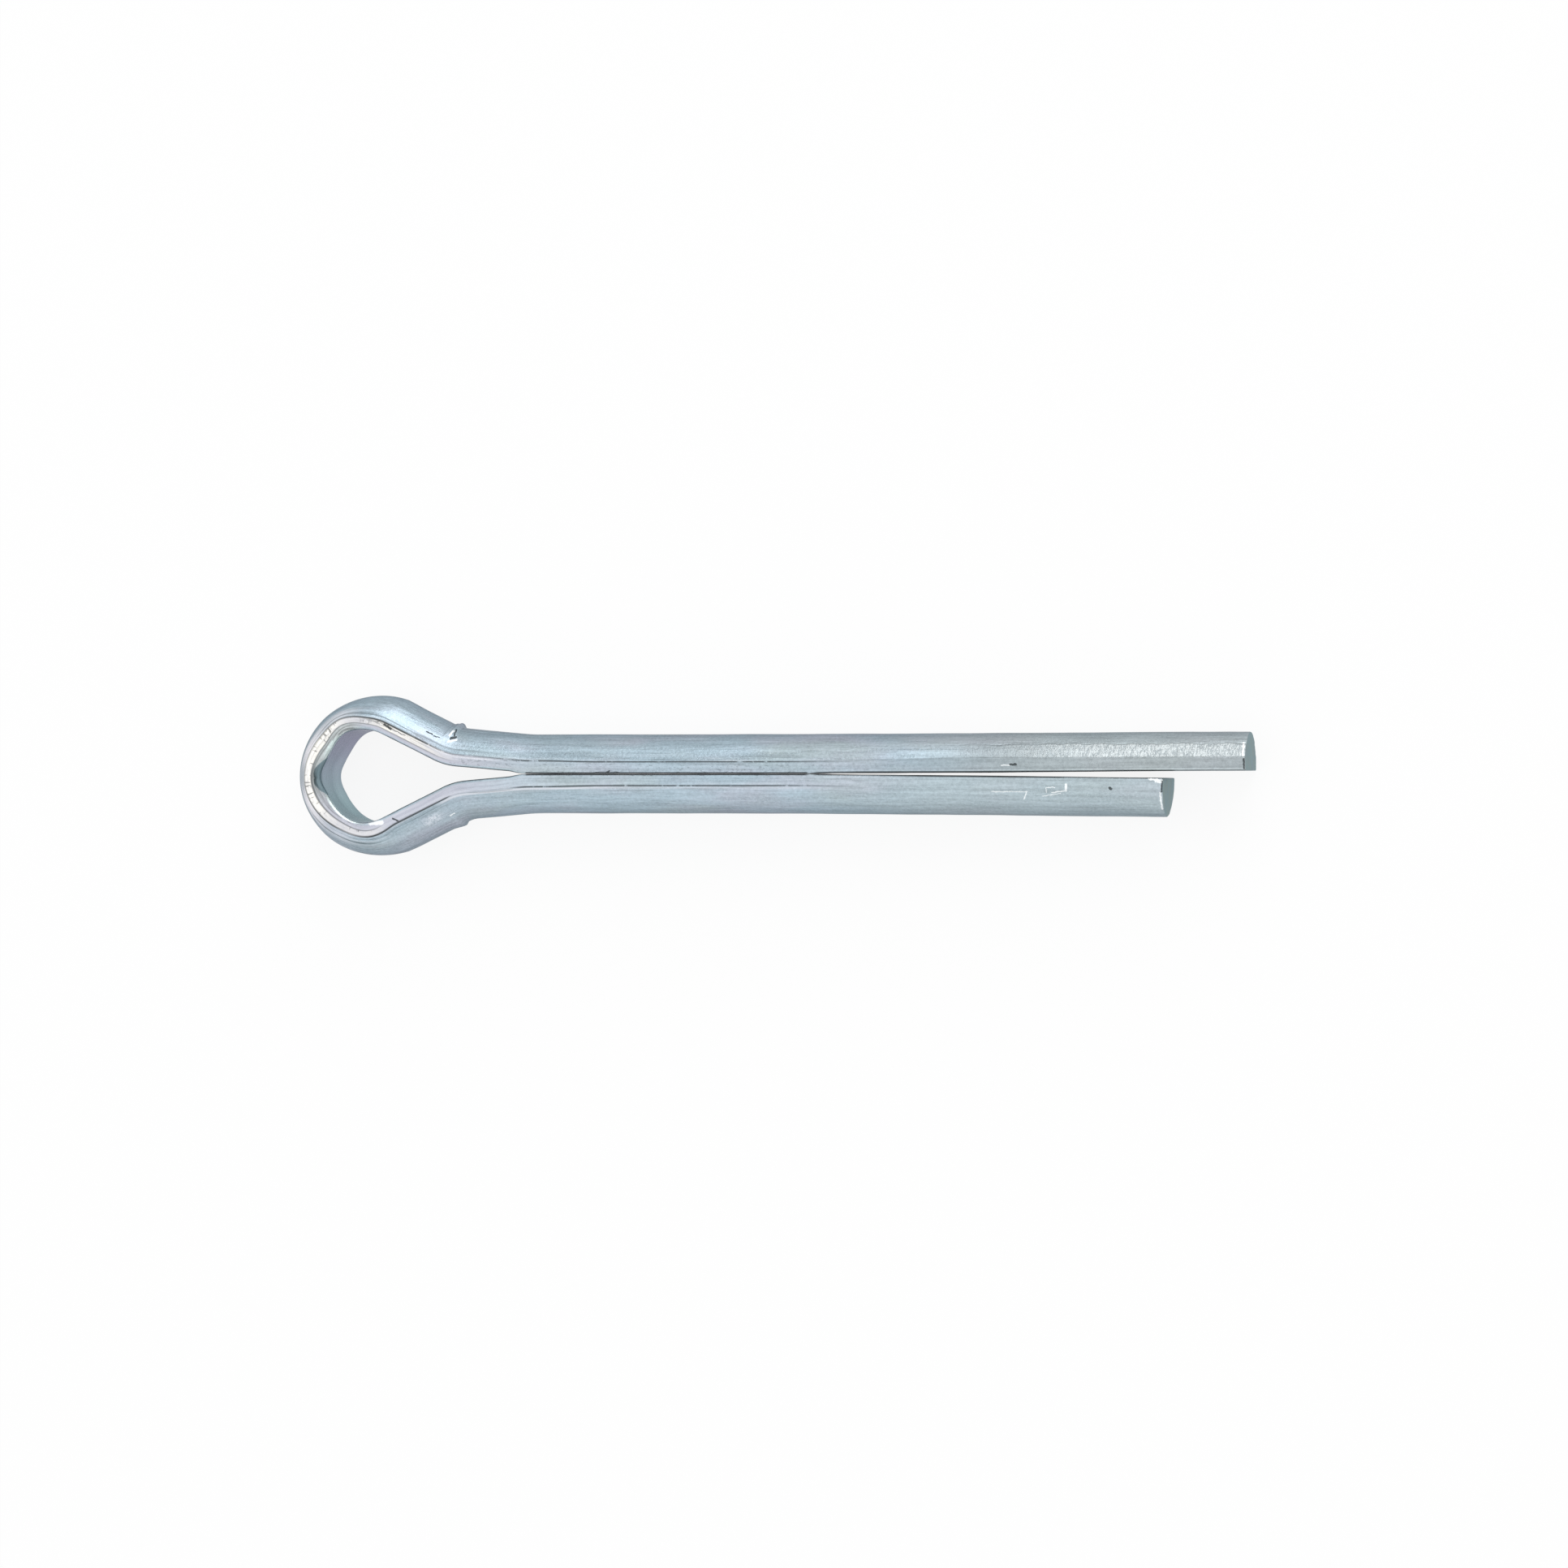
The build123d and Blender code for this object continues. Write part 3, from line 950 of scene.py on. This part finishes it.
def all_marks(rows):
    """One pattern with a mark for each row, on the upper side alone."""
    marks = [
        use_group(tree, mark_tree, {
            "Place": mark_place, "From": (*start, 0.0), "To": (*end, 0.0), "Width": width,
        })
        for start, end, width in rows
    ]
    return strongest(*marks) * upper_side


scratches_and_highlights = all_marks(PALE_SCRATCHES_AND_HIGHLIGHTS)
pits = all_marks(DARK_PITS)

# %% Dark marks along the line where the legs meet, painted shade along each leg's flat edge, and a painted highlight on a dent in the lower arm
# dark marks along the line where the legs meet, strongest about 3.3 mm along the closed stretch
gap_line_noise = noise(scaled(flat_place, (4.0, 9.0, 0.0)), detail=4.0, roughness=0.7)
gap_line_boost = hump(along, LONG_LEG_ORIGIN - 3.3, 1.2) * 0.16
_, flat_y, _ = parts_of(flat_place)
gap_line_dark = ramp(gap_line_noise + gap_line_boost, 0.56, 0.62) * hump(flat_y, 0.0, 0.2) * closed
# painted shade: a thin dark line along the flat's edge, under the metal that overhangs it
long_leg_burr = between(along, 3.1, 3.3, 17.0, 20.0)
short_leg_burr = between(along, 72.0, 75.0, 80.6, 81.0)
on_burr = ramp(height, 0.03, 0.06, 1.0, 0.0) * ramp(across, 1.5, 1.6)
burr_shade = on_burr * strongest(long_leg_burr, short_leg_burr)
# painted highlight: a pale patch on a raised dent on the lower arm
dent_highlight = hump(along, LOWER_NECK - 1.1, 0.75) * hump(from_corner, 0.65, 0.4) * upper_side
dent_highlight = dent_highlight * ramp(grain, 0.4, 0.56)

# %% The crumpled band's fine strokes, with painted glints on the bright ones and painted shade where the band ends away from the tip
DULL_FOIL, GLINT_FOIL = plain(0.29, 0.325, 0.34), plain(0.50, 0.54, 0.55)
foil_edge = noise(scaled(place, (1.6, 0.6, 0.6)), detail=3.0)
foil = (
    ramp(from_corner, 0.0, 0.03) * ramp(from_corner + foil_edge * 0.3, 0.84, 0.9, 1.0, 0.0)
    * ramp(along, 11.5, 14.0, 1.0, 0.0)
)
stroke_place = scaled(place, (12.0, 4.0, 4.0))
strokes = noise(stroke_place, detail=4.0, roughness=0.75, distortion=0.8)
# painted highlight: the bright strokes are painted glints of the crumpled surface
glints = ramp(strokes, 0.44, 0.54)
foil_glint_tint = blend_colours(glints, DULL_FOIL, GLINT_FOIL)
# painted shade: the band is a quarter darker where it ends, away from the tip
colour = scaled(colour, 1 - foil * ramp(along, 7.5, 10.0) * 0.25)
colour = blend_colours(foil * ramp(along, 12.0, 5.5, 0.1, 0.9), colour, foil_glint_tint)

# %% Bring the finish together: each pattern with the share that it hides of the metal's own colour
PALE_ZINC, DARK_MARK_AND_SHADE_ZINC = plain(0.74, 0.76, 0.82), plain(0.06, 0.07, 0.075)
SCRATCH_AND_HIGHLIGHT_ZINC = plain(0.87, 0.9, 0.91)
# the dark mix holds painted shade (at the upper neck and along the flats' edges) as well as real
# marks
dark = strongest(
    dark_lines, cracks * 0.6, smudges * 0.75, neck_shade_line * 0.45, pits * 0.9, band_line * 0.55,
    gap_line_dark * 0.7, burr_shade * 0.8, speckle * 0.3, flat_edge_line * 0.15,
)
# the pale mix holds painted highlights (the dent, the lower neck's corner) as well as pale folds
pale = strongest(pale_folds * 0.4, dent_highlight * 0.6, pale_edge_and_highlight * 0.8)
colour = blend_colours(pale, colour, PALE_ZINC)
colour = blend_colours(dark, colour, DARK_MARK_AND_SHADE_ZINC)
colour = blend_colours(scratches_and_highlights * 0.75, colour, SCRATCH_AND_HIGHLIGHT_ZINC)
feed(shader.inputs["Base Color"], colour)
roughness = 0.24 + lines * 0.1 + cream_here * 0.2 + strongest(dark, in_shadow) * 0.3
feed(shader.inputs["Roughness"], roughness)
relief = (
    lines * 0.006 + grain * 0.012 + strokes * foil * 0.025 - dark_lines * 0.015 - pits * 0.03
    - cracks * 0.008
)
bump = add_node(tree, "ShaderNodeBump", {"Height": relief, "Strength": 1.0, "Distance": 0.001})
feed(shader.inputs["Normal"], bump)
print("bright_zinc:", len(tree.nodes), "nodes")

# %% The sheared ends
sheared_zinc, tree, shader, place = start_metal("sheared_zinc")
tint = use_group(tree, tint_tree, {
    "Place": place, "Blue": plain(0.30, 0.40, 0.42), "Lilac": plain(0.31, 0.38, 0.39),
    "Green Grey": plain(0.33, 0.41, 0.39), "Patch Size": 0.6,
})
feed(shader.inputs["Base Color"], tint)
shader.inputs["Roughness"].default_value = 0.5

# %% [markdown]
# ## From the tree to a plain mesh
# The tree is a modifier, and its sizes go in before it runs for the first time. Its result is then
# kept as a plain mesh, the object that held it goes, and the mesh is measured. It has to be
# closed, with every edge between two faces. A volume above 0 shows that its faces point outward.

# %% Run the tree and keep its result
carrier = bpy.data.objects.new("wire_carrier", bpy.data.meshes.new("wire_carrier"))
bpy.context.scene.collection.objects.link(carrier)
modifier = carrier.modifiers.new("half_round_wire", "NODES")
modifier.node_group = shape
chosen = {
    **wire_sizes, "Wire Line": wire_line, "Plating": bright_zinc, "End Plating": sheared_zinc
}
for item in shape.interface.items_tree:
    if item.in_out == "INPUT":
        modifier[item.identifier] = chosen[item.name]
depsgraph = bpy.context.evaluated_depsgraph_get()
wire_mesh = bpy.data.meshes.new_from_object(carrier.evaluated_get(depsgraph))
wire_mesh.name = "pin_wire"
wire_mesh.materials.pop(index=0)
carrier.modifiers.remove(modifier)
bpy.data.objects.remove(carrier)
bpy.data.objects.remove(wire_line)

pin_wire = bpy.data.objects.new("pin_wire", wire_mesh)
bpy.context.scene.collection.objects.link(pin_wire)

# %% Measure the mesh
MM3_PER_M3 = 1e9
check = bmesh.new()
check.from_mesh(wire_mesh)
open_edges = sum(not edge.is_manifold for edge in check.edges)
volume = check.calc_volume(signed=True) * MM3_PER_M3
print("pin_wire:", len(wire_mesh.polygons), "faces,", open_edges, "open edges,",
      round(volume, 1), "mm3, materials:", [m.name for m in wire_mesh.materials])
check.free()

# %% Put the wire in the CAD node's place
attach(pin_wire, "root")
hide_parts("cotter_pin")

# %% [markdown]
# ## Floor, light and camera
# The pin lies on its side on a plain white floor. The background is white because the floor and
# the world are, for the camera and for whatever the metal reflects, and the lamps stay at a plain
# level. Polished metal shows its surroundings, so the lamps are wide softboxes, placed where the
# photograph's reflections say that its lamps were: one overhead, and one low behind the pin.

# %% Sizes and brightness of the floor and the world
FLOOR_HEIGHT = -HALF_WIDTH / 1000
FLOOR_REACH = 2.0
FLOOR_WHITENESS = 0.88
FILL_LIGHT = 0.75


def seen_directly(tree):
    """1 for what the camera, a reflection or a clear body sees, and 0 for plain lighting."""
    path = add_node(tree, "ShaderNodeLightPath", result="Is Camera Ray")
    seen = path + path.other("Is Glossy Ray") + path.other("Is Transmission Ray")
    return maths("MINIMUM", seen, 1.0)


# %% The floor
floor_mesh = bpy.data.meshes.new("studio_floor")
floor_corners = [
    (x * FLOOR_REACH, y * FLOOR_REACH, FLOOR_HEIGHT)
    for x, y in ((-1, -1), (1, -1), (1, 1), (-1, 1))
]
floor_mesh.from_pydata(floor_corners, [], [(0, 1, 2, 3)])
studio_floor = bpy.data.objects.new("studio_floor", floor_mesh)
bpy.context.scene.collection.objects.link(studio_floor)
paper = bpy.data.materials.new("white_paper")
paper.use_nodes = True
tree = paper.node_tree
tree.nodes.clear()
diffuse = add_node(tree, "ShaderNodeBsdfDiffuse", {"Color": plain(0.96, 0.96, 0.96)})
glow = add_node(tree, "ShaderNodeEmission", {"Color": plain(1.0, 1.0, 1.0), "Strength": 1.0})
mixed = add_node(
    tree, "ShaderNodeMixShader", (seen_directly(tree) * FLOOR_WHITENESS, diffuse, glow)
)
paper_out = tree.nodes.new("ShaderNodeOutputMaterial")
feed(paper_out.inputs["Surface"], mixed)
floor_mesh.materials.append(paper)

# %% The world
world = bpy.data.worlds.new("studio")
bpy.context.scene.world = world
world.use_nodes = True
tree = world.node_tree
backdrop = tree.nodes["Background"]
feed(backdrop.inputs["Color"], plain(1.0, 1.0, 1.0))
feed(backdrop.inputs["Strength"], FILL_LIGHT + seen_directly(tree) * (1 - FILL_LIGHT))


# %% Softboxes
def softbox(name, place, aim, width, height, brightness):
    """A rectangular lamp. brightness is what a reflection of it adds, where 1 is white."""
    lamp = bpy.data.lights.new(name, "AREA")
    lamp.shape = "RECTANGLE"
    lamp.size, lamp.size_y = width, height
    lamp.energy = 4 * width * height * brightness
    holder = bpy.data.objects.new(name, lamp)
    holder.location = place
    holder.rotation_euler = (Vector(aim) - Vector(place)).to_track_quat("-Z", "Y").to_euler()
    bpy.context.scene.collection.objects.link(holder)


PIN_MIDDLE = (0.0105, 0.0, 0.0)
softbox("overhead_softbox", (-0.15, 0.0, 0.6), PIN_MIDDLE, 0.5, 0.6, 0.3)
softbox("rear_softbox", (0.14, 0.53, 0.32), PIN_MIDDLE, 0.5, 0.6, 1.3)
softbox("front_softbox", (-0.1, -0.6, 0.2), PIN_MIDDLE, 0.7, 0.4, 0.25)

# %% Camera, at the photograph's angle
CAMERA_TARGET = Vector((0.0112, -0.00046, 0.0))
CAMERA_DISTANCE = 0.3
CAMERA_YAW = math.radians(14.0)
PHOTO_SIZE = 1932
FOCAL_LENGTH_IN_PIXELS = 8192
lens = bpy.data.cameras.new("camera")
lens.sensor_width = 36.0
lens.lens = lens.sensor_width * FOCAL_LENGTH_IN_PIXELS / PHOTO_SIZE
camera = bpy.data.objects.new("camera", lens)
camera.location = CAMERA_TARGET + CAMERA_DISTANCE * Vector(
    (math.sin(CAMERA_YAW), 0.0, math.cos(CAMERA_YAW))
)
camera.rotation_euler = (0.0, CAMERA_YAW, 0.0)
bpy.context.scene.collection.objects.link(camera)
bpy.context.scene.camera = camera
bpy.context.scene.view_settings.view_transform = "Standard"
print("camera at", [round(part, 4) for part in camera.location], "lens, mm:", round(lens.lens, 1))
